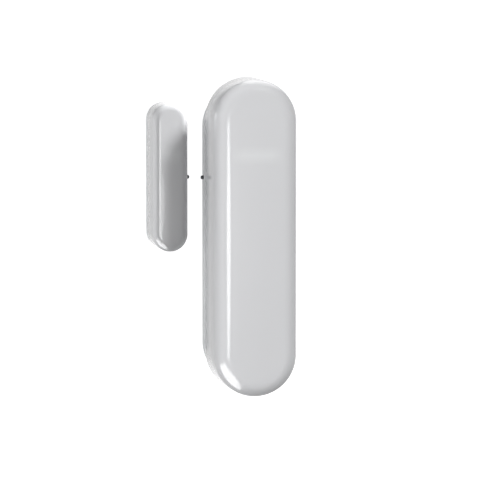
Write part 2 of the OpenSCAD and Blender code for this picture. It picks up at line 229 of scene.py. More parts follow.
metal = {"Metallic": 1.0}
clear = {"Transmission Weight": 1.0, "IOR": 1.49}
looks = {
    "white_shell": {"color": (0.53, 0.533, 0.545), "patchScale": 60, "patchShade": 0.985, "roughness": (0.17, 0.2),
                    "roughScale": 240, "grainScale": 1500, "grainHeight": 0.0012 * mm, "edge": 0.1,
                    "edgeShade": 1.06, "shader": {"IOR": 1.5, "Coat Weight": 0.4, "Coat Roughness": 0.05}},
    "back_shell": {"color": (0.52, 0.53, 0.54), "patchShade": 0.98, "roughness": (0.32, 0.37), "grainScale": 6000,
                   "grainHeight": 0.0003 * mm, "edge": 0.3, "edgeShade": 1.08},
    "foam_tape": {"color": (0.10, 0.105, 0.11), "roughness": (0.75, 0.95), "grainScale": 5200,
                  "grainHeight": 0.05 * mm, "patchShade": 0.8},
    "board_green": {"color": (0.018, 0.13, 0.055), "roughness": (0.22, 0.34), "patchShade": 0.88,
                    "grainScale": 9000, "grainHeight": 0.003 * mm, "edgeShade": 2.2},
    "screw_steel": {"color": (0.62, 0.62, 0.64), "roughness": (0.2, 0.36), "shader": metal},
    "holder_black": {"color": (0.022, 0.022, 0.024), "roughness": (0.38, 0.55), "grainScale": 7000,
                     "grainHeight": 0.01 * mm, "edgeShade": 2.5},
    "cell_sleeve": {"color": (0.56, 0.57, 0.58), "roughness": (0.2, 0.28), "roughScale": 300, "patchShade": 0.96,
                    "grainHeight": 0.001 * mm, "edge": 0},
    "cell_ring": {"color": (0.5, 0.03, 0.02), "roughness": (0.3, 0.45)},
    "cell_metal": {"color": (0.66, 0.65, 0.63), "roughness": (0.18, 0.32), "shader": metal},
    "contact_steel": {"color": (0.68, 0.67, 0.64), "roughness": (0.18, 0.34), "stretch": (1, 1, 0.05),
                      "shader": metal},
    "spring_steel": {"color": (0.62, 0.62, 0.63), "roughness": (0.18, 0.3), "shader": metal},
    "reed_tube": {"color": (0.86, 0.95, 0.92), "patchShade": 0.98, "roughness": (0.0, 0.04), "edge": 0,
                  "grainHeight": 0.001 * mm, "shader": clear},
    "reed_wire": {"color": (0.62, 0.58, 0.5), "roughness": (0.25, 0.4), "shader": metal},
    "chip_black": {"color": (0.018, 0.018, 0.02), "roughness": (0.42, 0.6), "grainScale": 9000,
                   "grainHeight": 0.008 * mm, "edgeShade": 2.5},
    "shield_tin": {"color": (0.72, 0.72, 0.73), "roughness": (0.22, 0.4), "stretch": (0.08, 1, 1), "shader": metal},
    "antenna_copper": {"color": (0.75, 0.36, 0.17), "roughness": (0.2, 0.34), "shader": metal},
    "crystal_metal": {"color": (0.7, 0.68, 0.62), "roughness": (0.15, 0.3), "shader": metal},
    "can_aluminium": {"color": (0.66, 0.67, 0.69), "roughness": (0.2, 0.34), "stretch": (1, 0.06, 1),
                      "shader": metal},
    "capacitor_tan": {"color": (0.34, 0.22, 0.12), "roughness": (0.4, 0.6)},
    "resistor_black": {"color": (0.02, 0.02, 0.023), "roughness": (0.25, 0.5), "edgeShade": 2.5},
    "header_black": {"color": (0.018, 0.018, 0.018), "roughness": (0.35, 0.5), "edgeShade": 2.5},
    "pin_gold": {"color": (0.83, 0.6, 0.22), "roughness": (0.16, 0.3), "shader": metal},
    "led_lens": {"color": (0.85, 0.83, 0.62), "roughness": (0.1, 0.2), "shader": {"Subsurface Weight": 0.3}},
    "guide_clear": {"color": (0.95, 0.97, 0.98), "patchShade": 0.99, "roughness": (0.02, 0.08), "edge": 0,
                    "grainHeight": 0.001 * mm, "shader": clear},
    "switch_black": {"color": (0.02, 0.02, 0.022), "roughness": (0.38, 0.52), "edgeShade": 2.5},
    "plunger_ivory": {"color": (0.56, 0.53, 0.44), "roughness": (0.3, 0.42)},
    "switch_metal": {"color": (0.66, 0.66, 0.65), "roughness": (0.22, 0.36), "shader": metal},
    "button_black": {"color": (0.02, 0.02, 0.02), "roughness": (0.35, 0.5), "edgeShade": 2.5},
    # painted shade: the pips are moulded in the shell's plastic and are darkened to the shade they sit in
    "mark_dark": {"color": (0.03, 0.032, 0.036), "roughness": (0.3, 0.45), "edgeShade": 2},
    "magnet_metal": {"color": (0.55, 0.56, 0.57), "roughness": (0.14, 0.32), "patchShade": 0.9, "shader": metal},
    "solder": {"color": (0.7, 0.7, 0.7), "roughness": (0.15, 0.32), "shader": metal},
    "silk_white": {"color": (0.8, 0.8, 0.78), "roughness": (0.55, 0.7)},
    "track_green": {"color": (0.03, 0.2, 0.085), "roughness": (0.22, 0.32)},
}
# the white shell carries the painted highlight band
finishes = {name: finishOf(name, look, paintedSheenBand if name == "white_shell" else None)
            for name, look in looks.items()}
print("finishes made", len(finishes))


def addPiece(name, mesh, node, finish=None, smooth=True):
    # one finished piece that rides with a node's body and takes its finish
    obj = bpy.data.objects.new(name, mesh)
    scene.collection.objects.link(obj)
    mesh.materials.clear()
    mesh.materials.append(finishes[finish or slotOf[node]])
    mesh.polygons.foreach_set("use_smooth", [smooth] * len(mesh.polygons))
    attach(obj, bodyOf[node])
    return obj


def roundEdges(obj, width, segments=2, angle=35):
    bevel = obj.modifiers.new("edges", "BEVEL")
    bevel.width, bevel.segments = width * mm, segments
    bevel.limit_method, bevel.angle_limit = "ANGLE", math.radians(angle)
    bevel.harden_normals = True
    return obj


def meshFrom(bm, name):
    bmesh.ops.recalc_face_normals(bm, faces=bm.faces)
    mesh = bpy.data.meshes.new(name)
    bm.to_mesh(mesh)
    bm.free()
    return mesh


def softCopy(name, node, width, segments=2):
    # a merged copy of a node's mesh with rounded edges, standing in for the node
    bm = bmesh.new()
    bm.from_mesh(frame["nodes"][node].data)
    bmesh.ops.remove_doubles(bm, verts=bm.verts, dist=weldGap * mm)
    bmesh.ops.dissolve_limit(bm, angle_limit=math.radians(0.8), verts=bm.verts, edges=bm.edges)
    obj = addPiece(name, meshFrom(bm, name), node)
    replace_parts(obj, node)
    return roundEdges(obj, width, segments) if width else obj


def lathe(profile, segments=48, axis="depth", at=(0, 0, 0)):
    # a closed solid of revolution; the profile runs from the axis out and back to it, as (radius, height)
    bm = bmesh.new()
    rings = []
    for radius, height in profile:
        if radius < 1e-6:
            rings.append([bm.verts.new((0, 0, height))])
        else:
            rings.append([bm.verts.new((radius * math.cos(math.tau * i / segments),
                                        radius * math.sin(math.tau * i / segments), height))
                          for i in range(segments)])
    for first, second in zip(rings, rings[1:]):
        for i in range(segments):
            j = (i + 1) % segments
            corners = [first[i % len(first)], first[j % len(first)],
                       second[j % len(second)], second[i % len(second)]]
            bm.faces.new(list(dict.fromkeys(corners)))
    turns = {"depth": Matrix.Identity(4), "up": Matrix.Rotation(math.radians(-90), 4, "X"),
             "right": Matrix.Rotation(math.radians(90), 4, "Y")}
    bm.transform(standing @ Matrix.Translation(at) @ turns[axis])
    return meshFrom(bm, "lathe")


def roundedRod(radius, height, edge, steps=4, start=0.0):
    # profile of a rod with rounded ends, for lathe
    points = [(0, start)]
    for i in range(steps + 1):
        a = math.radians(90 * i / steps)
        points.append((radius - edge + edge * math.sin(a), start + edge - edge * math.cos(a)))
    for i in range(steps + 1):
        a = math.radians(90 * i / steps)
        points.append((radius - edge + edge * math.cos(a), start + height - edge + edge * math.sin(a)))
    return [*points, (0, start + height)]


def addBlock(bm, left, right, low, high, back, front):
    corners = [(x, y, z) for z in (back, front) for y in (low, high) for x in (left, right)]
    v = [bm.verts.new(c) for c in corners]
    for face in ((0, 2, 3, 1), (4, 5, 7, 6), (0, 1, 5, 4), (2, 6, 7, 3), (0, 4, 6, 2), (1, 3, 7, 5)):
        bm.faces.new([v[i] for i in face])


def startTree(name, inputs):
    tree = bpy.data.node_groups.new(name, "GeometryNodeTree")
    tree.interface.new_socket("Geometry", in_out="INPUT", socket_type="NodeSocketGeometry")
    for label, kind in inputs.items():
        tree.interface.new_socket(label, in_out="INPUT", socket_type="NodeSocket" + kind)
    tree.interface.new_socket("Geometry", in_out="OUTPUT", socket_type="NodeSocketGeometry")
    return tree, tree.nodes.new("NodeGroupInput").outputs


def endTree(tree, geometry, given):
    real = addNode(tree, "GeometryNodeRealizeInstances", {0: geometry})
    done = addNode(tree, "GeometryNodeSetMaterial", {0: real.outputs[0], "Material": given["Material"]})
    out = tree.nodes.new("NodeGroupOutput")
    tree.links.new(done.outputs[0], out.inputs[0])
    return tree


def grow(name, tree, mesh, values):
    # runs a tree on a mesh and returns the plain mesh that comes out
    obj = bpy.data.objects.new(name, mesh)
    scene.collection.objects.link(obj)
    modifier = obj.modifiers.new(name, "NODES")
    modifier.node_group = tree
    for item in tree.interface.items_tree:
        if item.item_type == "SOCKET" and item.in_out == "INPUT" and item.name in values:
            modifier[item.identifier] = values[item.name]
    obj.update_tag()
    evaluated = obj.evaluated_get(bpy.context.evaluated_depsgraph_get())
    result = bpy.data.meshes.new_from_object(evaluated)
    bpy.data.objects.remove(obj)
    result.name = name
    return result


def makeSweptPill():
    # sweeps a side profile round a pill-shaped path and closes the two flats
    tree, given = startTree("swept pill", {"Width": "Float", "Length": "Float", "Corner Steps": "Int",
                                           "Outer Height": "Float", "Inner Height": "Float",
                                           "Material": "Material"})
    profile = addNode(tree, "GeometryNodeMeshToCurve", {0: given["Geometry"]})
    frameCurve = addNode(tree, "GeometryNodeCurvePrimitiveQuadrilateral",
                         {"Width": given["Width"], "Height": given["Length"]})
    # a little under half the width, so that the fillets never meet
    half = mathNode(tree, "MULTIPLY", given["Width"], 0.49999)
    path = addNode(tree, "GeometryNodeFilletCurve", {"Curve": frameCurve.outputs[0], "Radius": half,
                                                     "Count": given["Corner Steps"]}, mode="POLY")
    wall = addNode(tree, "GeometryNodeCurveToMesh",
                   {"Curve": path.outputs[0], "Profile Curve": profile.outputs[0]})
    flat = addNode(tree, "GeometryNodeFillCurve", {"Curve": path.outputs[0]}, mode="NGONS")
    joined = tree.nodes.new("GeometryNodeJoinGeometry")
    tree.links.new(wall.outputs[0], joined.inputs[0])
    for height in ("Outer Height", "Inner Height"):
        lift = addNode(tree, "ShaderNodeCombineXYZ", {"Z": given[height]})
        moved = addNode(tree, "GeometryNodeTransform",
                        {"Geometry": flat.outputs[0], "Translation": lift.outputs[0]})
        tree.links.new(moved.outputs[0], joined.inputs[0])
    closed = addNode(tree, "GeometryNodeMergeByDistance",
                     {"Geometry": joined.outputs[0], "Distance": 4 * weldGap})
    return endTree(tree, closed.outputs[0], given)


def makeCoiledWire():
    # winds a round wire into a coil, straight or tapered
    tree, given = startTree("coiled wire", {"Turns": "Float", "First Radius": "Float", "Last Radius": "Float",
                                            "Height": "Float", "Wire Radius": "Float", "Steps": "Int",
                                            "Material": "Material"})
    coil = addNode(tree, "GeometryNodeCurveSpiral",
                   {"Resolution": given["Steps"], "Rotations": given["Turns"], "Height": given["Height"],
                    "Start Radius": given["First Radius"], "End Radius": given["Last Radius"]})
    circle = addNode(tree, "GeometryNodeCurvePrimitiveCircle", {"Resolution": 12, "Radius": given["Wire Radius"]})
    tube = addNode(tree, "GeometryNodeCurveToMesh",
                   {"Curve": coil.outputs[0], "Profile Curve": circle.outputs[0], "Fill Caps": True})
    return endTree(tree, tube.outputs[0], given)


def makePlacedCopies():
    # puts a copy of one object on every point of the mesh
    tree, given = startTree("placed copies", {"Piece": "Object", "Material": "Material"})
    piece = addNode(tree, "GeometryNodeObjectInfo", {"Object": given["Piece"]})
    copies = addNode(tree, "GeometryNodeInstanceOnPoints",
                     {"Points": given["Geometry"], "Instance": piece.outputs["Geometry"]})
    return endTree(tree, copies.outputs[0], given)


def makeRibbon():
    # turns the lines of the mesh into flat raised strips
    tree, given = startTree("ribbon", {"Width": "Float", "Height": "Float", "Material": "Material"})
    lines = addNode(tree, "GeometryNodeMeshToCurve", {0: given["Geometry"]})
    strip = addNode(tree, "GeometryNodeCurvePrimitiveQuadrilateral",
                    {"Width": given["Width"], "Height": given["Height"]})
    upright = addNode(tree, "GeometryNodeSetCurveNormal", {"Curve": lines.outputs[0]}, mode="Z_UP")
    body = addNode(tree, "GeometryNodeCurveToMesh",
                   {"Curve": upright.outputs[0], "Profile Curve": strip.outputs[0], "Fill Caps": True})
    return endTree(tree, body.outputs[0], given)


sweptPill, coiledWire = makeSweptPill(), makeCoiledWire()
placedCopies, ribbon = makePlacedCopies(), makeRibbon()


def pointMesh(points, edges=()):
    mesh = bpy.data.meshes.new("points")
    mesh.from_pydata(points, edges, [])
    return mesh


def lineMesh(lines):
    points, edges = [], []
    for line in lines:
        first = len(points)
        points += line
        edges += [(i, i + 1) for i in range(first, first + len(line) - 1)]
    return pointMesh(points, edges)


def stood(mesh, at=(0, 0, 0), turn=None):
    # stands a mesh drawn in millimetres against the wall, faces outwards
    bm = bmesh.new()
    bm.from_mesh(mesh)
    bmesh.ops.remove_doubles(bm, verts=bm.verts, dist=weldGap)
    bm.transform(standing @ Matrix.Translation(at) @ (turn or Matrix.Identity(4)))
    return meshFrom(bm, mesh.name)


def placeCopies(name, element, places, node, finish=None):
    # one piece made of a copy of the element at each place
    source = bpy.data.objects.new("element", element)
    scene.collection.objects.link(source)
    mesh = grow(name, placedCopies, pointMesh(places),
                {"Piece": source, "Material": finishes[finish or slotOf[node]]})
    bpy.data.objects.remove(source)
    return addPiece(name, stood(mesh), node, finish)


def drawRibbons(name, lines, width, height, node, finish):
    mesh = grow(name, ribbon, lineMesh(lines),
                {"Width": width, "Height": height, "Material": finishes[finish]})
    return addPiece(name, stood(mesh), node, finish, smooth=False)


def blockMesh(size):
    bm = bmesh.new()
    addBlock(bm, -size[0] / 2, size[0] / 2, -size[1] / 2, size[1] / 2, 0, size[2])
    return meshFrom(bm, "block")


def joinInto(obj, *meshes):
    # adds closed solids to a finished piece
    bm = bmesh.new()
    bm.from_mesh(obj.data)
    for mesh in meshes:
        bm.from_mesh(mesh)
    bm.to_mesh(obj.data)
    bm.free()
    obj.data.polygons.foreach_set("use_smooth", [True] * len(obj.data.polygons))


print("trees built")


sensorShell = {
    "node": "sensor_cover",
    "edgeRadius": 3.8,
    "edgePower": 2.2,           # 2 is a circle, more is a fuller edge
    "draft": 0.12,              # how much narrower the sides get towards the front
    "wall": 1.3,
    "lip": 0.25,                # soft corner at the rim
    "cornerSteps": 40,
    "edgeSteps": 18,
}
unitShell = {**sensorShell, "node": "magnet_cover", "edgeRadius": 1.9, "draft": 0.06, "wall": 1.1, "lip": 0.2,
             "cornerSteps": 28, "edgeSteps": 12}


def shellProfile(place, shell):
    # from the edge of the outer flat, down the outside, round the lip and up the inside
    r, t, lip, power = shell["edgeRadius"], shell["wall"], shell["lip"], shell["edgePower"]

    def softEdge(radius, draft, depth):
        steps = [90 * i / shell["edgeSteps"] for i in range(shell["edgeSteps"] + 1)]
        return [((radius - draft) * math.sin(math.radians(a)) ** (2 / power),
                 depth - radius * (1 - math.cos(math.radians(a)) ** (2 / power))) for a in steps]

    outside = softEdge(r, shell["draft"], place.front)
    rim = [(r - lip * (1 - math.sin(math.radians(a))), place.back + lip * (1 - math.cos(math.radians(a))))
           for a in (90, 60, 30, 0)]
    inside = softEdge(r - t, 0, place.front - t)
    return [*outside, *rim, (r - t + lip, place.back), (r - t, place.back + lip), *reversed(inside)]


def makeShell(name, shell):
    place = nodeBox(shell["node"])
    points = [(x, -y, 0) for x, y in shellProfile(place, shell)]
    flat = {"Width": place.width - 2 * shell["edgeRadius"], "Length": place.length - 2 * shell["edgeRadius"]}
    mesh = grow(name, sweptPill, lineMesh([points]),
                {**flat, "Corner Steps": shell["cornerSteps"], "Outer Height": place.front,
                 "Inner Height": place.front - shell["wall"], "Material": finishes[slotOf[shell["node"]]]})
    obj = addPiece(name, stood(mesh, (place.x, place.y, 0)), shell["node"])
    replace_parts(obj, shell["node"])
    return obj


coverShell = makeShell("front_cover", sensorShell)
magnetShell = makeShell("magnet_unit_cover", unitShell)
print("covers made", len(coverShell.data.polygons), len(magnetShell.data.polygons))


coverInside = {
    "ribWidth": 10, "ribThick": 0.8, "ribHeight": 0.9,
    "ribPlaces": (-34, 1.4, 33),
    "collarWall": 1.0, "collarHeight": 4,
    "postWiden": 0.3, "postEdge": 0.15,
    "corner": 0.1,
    "gap": 0.05,                # what the collar and the post leave free
    "sunk": 0.3,                # how deep all of them sit in the front wall
    "catchPlaces": (-20, 20), "catchLength": 5.6, "catchDepths": (2.9, 5.4), "catchRoom": 0.35,
}


def cutWith(obj, mesh):
    # takes the solids of a mesh out of a finished piece
    cutter = bpy.data.objects.new("cutter", mesh)
    scene.collection.objects.link(cutter)
    modifier = obj.modifiers.new("cut", "BOOLEAN")
    modifier.operation, modifier.solver, modifier.object = "DIFFERENCE", "EXACT", cutter
    evaluated = obj.evaluated_get(bpy.context.evaluated_depsgraph_get())
    result = bpy.data.meshes.new_from_object(evaluated)
    obj.modifiers.remove(modifier)
    bpy.data.objects.remove(cutter)
    obj.data = result


def makeCoverInside(inside):
    # channels for the catches, then a collar for the light guide, a post over the plunger, and ribs
    guide, plunger = nodeBox("light_guide"), nodeBox("tamper_plunger")
    ceiling, sunk, corner = cover.front - sensorShell["wall"], inside["sunk"], inside["corner"]
    inner, outer = guide.width / 2 + inside["gap"], guide.width / 2 + inside["collarWall"]
    low, top = ceiling - inside["collarHeight"], ceiling + sunk
    tube = [(inner, low), (inner + 1.5 * corner, low - corner), (outer - corner, low - corner), (outer, low),
            (outer, top), (inner, top), (inner, low)]
    collar = lathe(tube, 32, at=(guide.x, guide.y, 0))
    foot = plunger.front + inside["gap"]
    rod = roundedRod(plunger.width / 2 + inside["postWiden"], top - foot, inside["postEdge"], start=foot)
    post = lathe(rod, 32, at=(plunger.x, plunger.y, 0))
    rib = bpy.data.objects.new("rib", blockMesh((inside["ribWidth"], inside["ribThick"],
                                                 inside["ribHeight"] + sunk)))
    scene.collection.objects.link(rib)
    places = [(0, y, ceiling - inside["ribHeight"]) for y in inside["ribPlaces"]]
    ribs = stood(grow("ribs", placedCopies, pointMesh(places),
                      {"Piece": rib, "Material": finishes[slotOf["sensor_cover"]]}))
    bpy.data.objects.remove(rib)
    channels = bmesh.new()
    reach, length = cover.width / 2 - sensorShell["wall"] + inside["catchRoom"], inside["catchLength"]
    for y in inside["catchPlaces"]:
        addBlock(channels, -reach, reach, y - length / 2, y + length / 2, *inside["catchDepths"])
    channels.transform(standing)
    cutWith(coverShell, meshFrom(channels, "channels"))
    joinInto(coverShell, collar, post, ribs)


makeCoverInside(coverInside)
softCopy("housing_tray", "back_housing", 0.18, 2)
softCopy("magnet_unit_plate", "magnet_base", 0.15, 2)
softCopy("wall_tape", "sensor_tape", 0.08, 1)
softCopy("unit_wall_tape", "magnet_unit_tape", 0.08, 1)
softCopy("bar_magnet_block", "bar_magnet", 0.25, 3)

markShape = {"dome": 0.35, "segments": 32}


def makeMark(name, node, outward, mark):
    # a pip with a domed face, which looks left (-1) or right (1); its dark finish is painted shade, as the pip
    # itself is the shell's plastic
    place = nodeBox(node)
    radius, length, dome = place.length / 2, place.width, mark["dome"]
    steps = [math.radians(a) for a in range(0, 90, 15)]
    face = [(radius * math.cos(a), length - dome + dome * math.sin(a)) for a in steps]
    mesh = lathe([(0, 0), (radius, 0), *face, (0, length)], mark["segments"], axis="right")
    start = place.left if outward > 0 else place.right
    turn = Matrix.Rotation(math.radians(90 - 90 * outward), 4, "Z")
    mesh.transform(Matrix.Translation(Vector((start, -place.z, place.y)) * mm) @ turn)
    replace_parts(addPiece(name, mesh, node), node)


makeMark("sensor_pip", "sensor_mark", -1, markShape)
makeMark("magnet_pip", "magnet_mark", 1, markShape)
print("outer pieces made")


cellShape = {"shoulder": 0.9, "sleeveWall": 0.12, "sleeveBack": 0.9, "ringWidth": 0.9, "segments": 96}


def makeBattery(cell):
    # a steel can with its shoulder, crimp and nub, a shrink sleeve round it and a ring on its shoulder
    place, ring = nodeBox("battery"), nodeBox("battery_ring")
    r, s, w, turns = place.width / 2, cell["shoulder"], cell["sleeveWall"], cell["segments"]
    top, foot = ring.high - place.low, (place.x, place.low, place.z)
    base = [(0, 0.35), (r * 0.55, 0.35), (r * 0.6, 0.1), (r * 0.8, 0.0), (r - s, 0.0)]
    base += [(r - s + s * math.sin(math.radians(a)) - 0.1, s - s * math.cos(math.radians(a)))
             for a in range(0, 91, 15)]
    crimp = [(r - 0.1, top - 1.3), (r - 0.5, top - 0.95), (r - 0.95, top - 0.8), (r - 1.1, top - 0.25),
             (r - 1.35, top - 0.1), (2.95, top - 0.12)]
    nub = [(2.5, top), (2.45, top + 0.5), (2.3, top + 0.72), (2.0, place.length), (0, place.length)]
    can = lathe([*base, *crimp, *nub], turns, "up", foot)
    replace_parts(addPiece("cell_can", can, "battery", "cell_metal"), "battery")
    low, high = cell["sleeveBack"], top - 0.75
    sleeve = [(r - w, low - 0.25), (r - 0.5, low - 0.75), (r - 0.42, low - 0.85), (r - 0.06, low - 0.3), (r, low),
              (r, high), (r - 0.1, high + 0.12), (r - w - 0.05, high + 0.05), (r - w - 0.05, high),
              (r - w, low - 0.25)]
    addPiece("cell_sleeve", lathe(sleeve, turns, "up", foot), "battery", "cell_sleeve")
    inner, outer, high = ring.width / 2 - cell["ringWidth"], ring.width / 2, ring.length
    band = [(inner, 0.05), (inner + 0.05, 0), (outer - 0.1, 0), (outer, 0.1), (outer, high - 0.1),
            (outer - 0.1, high), (inner + 0.05, high), (inner, high - 0.05), (inner, 0.05)]
    ringMesh = lathe(band, turns, "up", (ring.x, ring.low, ring.z))
    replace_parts(addPiece("cell_ring", ringMesh, "battery_ring"), "battery_ring")


makeBattery(cellShape)
softCopy("cell_holder", "battery_holder", 0.16, 2)
softCopy("positive_leaf", "positive_contact", 0.05, 1)
softCopy("negative_leaf", "negative_contact", 0.05, 1)

coils = {
    "spring": {"Turns": 3.0, "First Radius": 4.0, "Last Radius": 1.7, "Height": 2.5,
               "Wire Radius": 0.25, "Steps": 40},
    "antenna": {"Turns": 7.0, "First Radius": 1.25, "Last Radius": 1.25, "Height": 7.0,
                "Wire Radius": 0.25, "Steps": 28},
}


def makeCoil(name, node, size):
    place = nodeBox(node)
    wireMesh = grow(name, coiledWire, pointMesh([(0, 0, 0)]), {**size, "Material": finishes[slotOf[node]]})
    upward = Matrix.Rotation(math.radians(-90), 4, "X")
    foot = (place.x, place.low + size["Wire Radius"], place.z)
    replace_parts(addPiece(name, stood(wireMesh, foot, upward), node), node)


makeCoil("cell_spring", "negative_spring", coils["spring"])
makeCoil("antenna", "antenna_coil", coils["antenna"])
print("battery and coils made")


softCopy("board", "circuit_board", 0.06, 1)
softCopy("board_screw_pair", "board_screws", 0.08, 2)

boardSize = {
    "trackWidth": 0.26, "trackHeight": 0.05, "trackLift": 0.005,
    "silkWidth": 0.14, "silkHeight": 0.03, "silkLift": 0.01, "silkRoom": 0.25,
    "viaRadius": 0.24, "viaHole": 0.1,
    "padSize": (0.3, 0.55, 0.08), "padPitch": 0.76, "padStart": 0.6, "padCount": 6, "padOut": 0.1,
    "pinPitch": 1.27,
    "sunk": 0.02,               # how deep the pads and vias sit in the board
}
chip, shieldCan, caseBox = nodeBox("microcontroller"), nodeBox("radio_shield"), nodeBox("tamper_case")
canBox, pairBox, pins = nodeBox("buffer_capacitor"), nodeBox("pairing_switch"), nodeBox("header_pins")
crystalBox, ledBox = nodeBox("crystal_can"), nodeBox("status_led")


def outline(place, size):
    # corners of a printed frame round a part
    room, z = size["silkRoom"], board.front + size["silkLift"]
    l, r, b, t = place.left - room, place.right + room, place.low - room, place.high + room
    return [(l, b, z), (r, b, z), (r, t, z), (l, t, z), (l, b, z)]


def boardTracks(size):
    # copper runs under the mask, most with a bevelled corner
    runs = []
    for i in range(5):
        x = chip.left + 0.9 + 0.8 * i
        runs.append([(x, chip.high), (x, chip.high + 1.1), (x + 0.5, shieldCan.low - 0.3)])
        runs.append([(x, chip.low), (x, chip.low - 0.8 - 0.25 * i), (x - 0.4, chip.low - 1.3 - 0.25 * i)])
    for i in range(4):
        y = chip.low + 1.0 + 0.8 * i
        runs.append([(chip.right, y), (chip.right + 0.5, y), (chip.right + 0.9, y + 0.4)])
        x, y = pins.left + 0.25 + size["pinPitch"] * i, pins.high + 0.7
        runs.append([(x, y), (x, y + 0.7 + 0.2 * i), (x - 0.5, y + 1.2 + 0.2 * i)])
    x, y = shieldCan.right, shieldCan.y
    runs.append([(x + 0.2, y), (x + 0.9, y), (x + 1.4, y - 0.5), (nodeBox("antenna_coil").x, shieldCan.low + 0.2)])
    runs.append([(pairBox.right, pairBox.y), (pairBox.right + 0.8, pairBox.y),
                 (crystalBox.left, crystalBox.high + 0.4)])
    return [[(x, y, board.front + size["trackLift"]) for x, y in run] for run in runs]


def makeBoardDetail(size):
    drawRibbons("board_tracks", boardTracks(size), size["trackWidth"], size["trackHeight"],
                "circuit_board", "track_green")
    frames = [outline(p, size) for p in (chip, shieldCan, caseBox, canBox, pairBox, crystalBox, ledBox)]
    drawRibbons("board_print", frames, size["silkWidth"], size["silkHeight"], "circuit_board", "silk_white")
    z, sunk, hole, edge = board.front, size["sunk"], size["viaHole"], size["viaRadius"]
    via = lathe([(hole, -sunk), (edge, -sunk), (edge, 0.03), (hole, 0.03), (hole, -sunk)], 12)
    via.transform(standing.inverted())
    vias = [(chip.left - 0.7, chip.low + 0.9 * i, z) for i in range(5)]
    vias += [(shieldCan.left - 0.55, shieldCan.low + 1.2 * i, z) for i in range(6)]
    vias += [(shieldCan.right + 0.5, shieldCan.low + 2.6 + 1.1 * i, z) for i in range(4)]
    vias += [(board.right - 0.8, caseBox.low + 1.4 * i, z) for i in (-2, -1)]
    vias += [(-2.4 + 1.1 * i, board.high - 0.7, z) for i in range(5)]
    placeCopies("board_vias", via, vias, "circuit_board", "pin_gold")
    # a cone of solder round each end of the reed switch
    cone = [(0.26, -0.01), (0.75, -0.01), (0.7, 0.1), (0.45, 0.3), (0.3, 0.55), (0.26, 0.5), (0.26, -0.01)]
    far, fixed = nodeBox("reed_far_lead"), nodeBox("reed_fixed_lead")
    joints = addPiece("reed_solder", lathe(cone, 24, at=(far.x, far.high - 0.25, z)), "circuit_board", "solder")
    joinInto(joints, lathe(cone, 24, at=(fixed.x, fixed.low + 0.25, z)))
    # the chip's legs on its four sides
    steps, out = [size["padStart"] + size["padPitch"] * i for i in range(size["padCount"])], size["padOut"]
    wide, long, thick = size["padSize"]
    placeCopies("chip_pads", blockMesh((wide, long, thick)),
                [(chip.left + s, y, z - sunk) for s in steps for y in (chip.low - out, chip.high + out)],
                "microcontroller", "solder")
    placeCopies("chip_side_pads", blockMesh((long, wide, thick)),
                [(x, chip.low + s, z - sunk) for s in steps for x in (chip.left - out, chip.right + out)],
                "microcontroller", "solder")


makeBoardDetail(boardSize)


def feetOf(node):
    # where each separate solid of a node stands: its middle and its back
    bm = bmesh.new()
    bm.from_mesh(frame["nodes"][node].data)
    bmesh.ops.remove_doubles(bm, verts=bm.verts, dist=2 * weldGap * mm)
    left, found = set(bm.verts), []
    while left:
        stack, group = [left.pop()], []
        while stack:
            v = stack.pop()
            group.append(v.co.copy())
            for e in v.link_edges:
                w = e.other_vert(v)
                if w in left:
                    left.remove(w)
                    stack.append(w)
        xs, ys, zs = [c.x / mm for c in group], [c.z / mm for c in group], [-c.y / mm for c in group]
        found.append(((min(xs) + max(xs)) / 2, (min(ys) + max(ys)) / 2, min(zs)))
    bm.free()
    return sorted(found)


chipSize = {"body": (0.56, 0.46, 0.4), "end": (0.24, 0.5, 0.46), "endPlace": 0.38, "endSunk": 0.04}


def makeChips(name, node, size):
    # small parts: a body between two tinned ends
    places = feetOf(node)
    body = placeCopies(name, blockMesh(size["body"]), places, node)
    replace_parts(body, node)
    roundEdges(body, 0.04, 1)
    ends = [(x + s * size["endPlace"], y, z - size["endSunk"]) for x, y, z in places for s in (-1, 1)]
    roundEdges(placeCopies(name + "_ends", blockMesh(size["end"]), ends, node, "solder"), 0.05, 1)


makeChips("ceramic_chips", "chip_capacitors", chipSize)
makeChips("film_chips", "chip_resistors", chipSize)
softCopy("processor", "microcontroller", 0.08, 2)
dot = lathe([(0, 0), (0.28, 0), (0.28, 0.02), (0, 0.02)], 20,
            at=(chip.left + 0.8, chip.high - 0.8, chip.front))
addPiece("processor_dot", dot, "microcontroller", "solder")
softCopy("shield_lid", "radio_shield", 0.1, 2)
softCopy("crystal", "crystal_can", 0.12, 2)
softCopy("header_strip", "program_header", 0.12, 1)


def makeHeaderPins():
    profile = [(0, 0), (0.2, 0), (0.25, 0.2), (0.25, pins.depth - 0.3), (0.12, pins.depth), (0, pins.depth)]
    pinShape = lathe(profile, 12)
    pinShape.transform(standing.inverted())
    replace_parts(placeCopies("gold_pins", pinShape, feetOf("header_pins"), "header_pins"), "header_pins")


makeHeaderPins()


canShape = {"footDepth": 0.8, "footRoom": 0.2, "stripeFrom": 0.7, "segments": 64}


